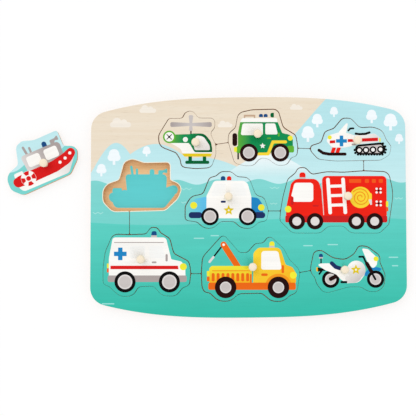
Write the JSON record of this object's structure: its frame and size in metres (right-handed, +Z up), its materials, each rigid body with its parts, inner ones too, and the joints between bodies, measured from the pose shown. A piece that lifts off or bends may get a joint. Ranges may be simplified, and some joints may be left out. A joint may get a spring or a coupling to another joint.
{
  "type": "peg puzzle",
  "caption": "Wooden peg puzzle: a board with bowed long edges whose sawn vehicle pieces lift out by turned pegs, with the boat lying beside its open recess.",
  "frame": {"origin": "centre of the board's underside, on the surface that it lies on", "axes": "+X to the right along the board's length and +Y towards its upper long edge, as its pictures are seen, +Z up"},
  "size_m": [0.38, 0.2102, 0.02],
  "materials": {
    "backing_ply": "bare plywood, sanded",
    "printed_board": "plywood with a satin lacquered print of a landscape",
    "helicopter_print": "plywood with a satin lacquered print of a green helicopter",
    "off_road_car_print": "plywood with a satin lacquered print of a green off-road car",
    "snowmobile_print": "plywood with a satin lacquered print of a white snowmobile",
    "rescue_boat_print": "plywood with a satin lacquered print of a red and white boat",
    "police_car_print": "plywood with a satin lacquered print of a blue and white car",
    "fire_engine_print": "plywood with a satin lacquered print of a red fire engine",
    "ambulance_print": "plywood with a satin lacquered print of a white ambulance",
    "tow_truck_print": "plywood with a satin lacquered print of a yellow tow truck",
    "motorcycle_print": "plywood with a satin lacquered print of a white and blue motorcycle",
    "peg_wood": "turned pale hardwood, sanded and waxed"
  },
  "bodies": {
    "board": {"backing_board": "backing_ply", "frame_board": "printed_board"},
    "helicopter_piece": {"helicopter": "helicopter_print", "helicopter_peg": "peg_wood"},
    "off_road_car_piece": {"off_road_car": "off_road_car_print", "off_road_car_peg": "peg_wood"},
    "snowmobile_piece": {"snowmobile": "snowmobile_print", "snowmobile_peg": "peg_wood"},
    "rescue_boat_piece": {"rescue_boat": "rescue_boat_print", "rescue_boat_peg": "peg_wood"},
    "police_car_piece": {"police_car": "police_car_print", "police_car_peg": "peg_wood"},
    "fire_engine_piece": {"fire_engine": "fire_engine_print", "fire_engine_peg": "peg_wood"},
    "ambulance_piece": {"ambulance": "ambulance_print", "ambulance_peg": "peg_wood"},
    "tow_truck_piece": {"tow_truck": "tow_truck_print", "tow_truck_peg": "peg_wood"},
    "motorcycle_piece": {"motorcycle": "motorcycle_print", "motorcycle_peg": "peg_wood"}
  },
  "joints": [
    {"name": "helicopter_lift", "type": "slide", "parent": "board", "child": "helicopter_piece", "axis": [0, 0, 1], "range_m": [0, 0.03]},
    {"name": "off_road_car_lift", "type": "slide", "parent": "board", "child": "off_road_car_piece", "axis": [0, 0, 1], "range_m": [0, 0.03]},
    {"name": "snowmobile_lift", "type": "slide", "parent": "board", "child": "snowmobile_piece", "axis": [0, 0, 1], "range_m": [0, 0.03]},
    {"name": "rescue_boat_lift", "type": "slide", "parent": "board", "child": "rescue_boat_piece", "axis": [0, 0, 1], "range_m": [0, 0.03]},
    {"name": "police_car_lift", "type": "slide", "parent": "board", "child": "police_car_piece", "axis": [0, 0, 1], "range_m": [0, 0.03]},
    {"name": "fire_engine_lift", "type": "slide", "parent": "board", "child": "fire_engine_piece", "axis": [0, 0, 1], "range_m": [0, 0.03]},
    {"name": "ambulance_lift", "type": "slide", "parent": "board", "child": "ambulance_piece", "axis": [0, 0, 1], "range_m": [0, 0.03]},
    {"name": "tow_truck_lift", "type": "slide", "parent": "board", "child": "tow_truck_piece", "axis": [0, 0, 1], "range_m": [0, 0.03]},
    {"name": "motorcycle_lift", "type": "slide", "parent": "board", "child": "motorcycle_piece", "axis": [0, 0, 1], "range_m": [0, 0.03]}
  ]
}
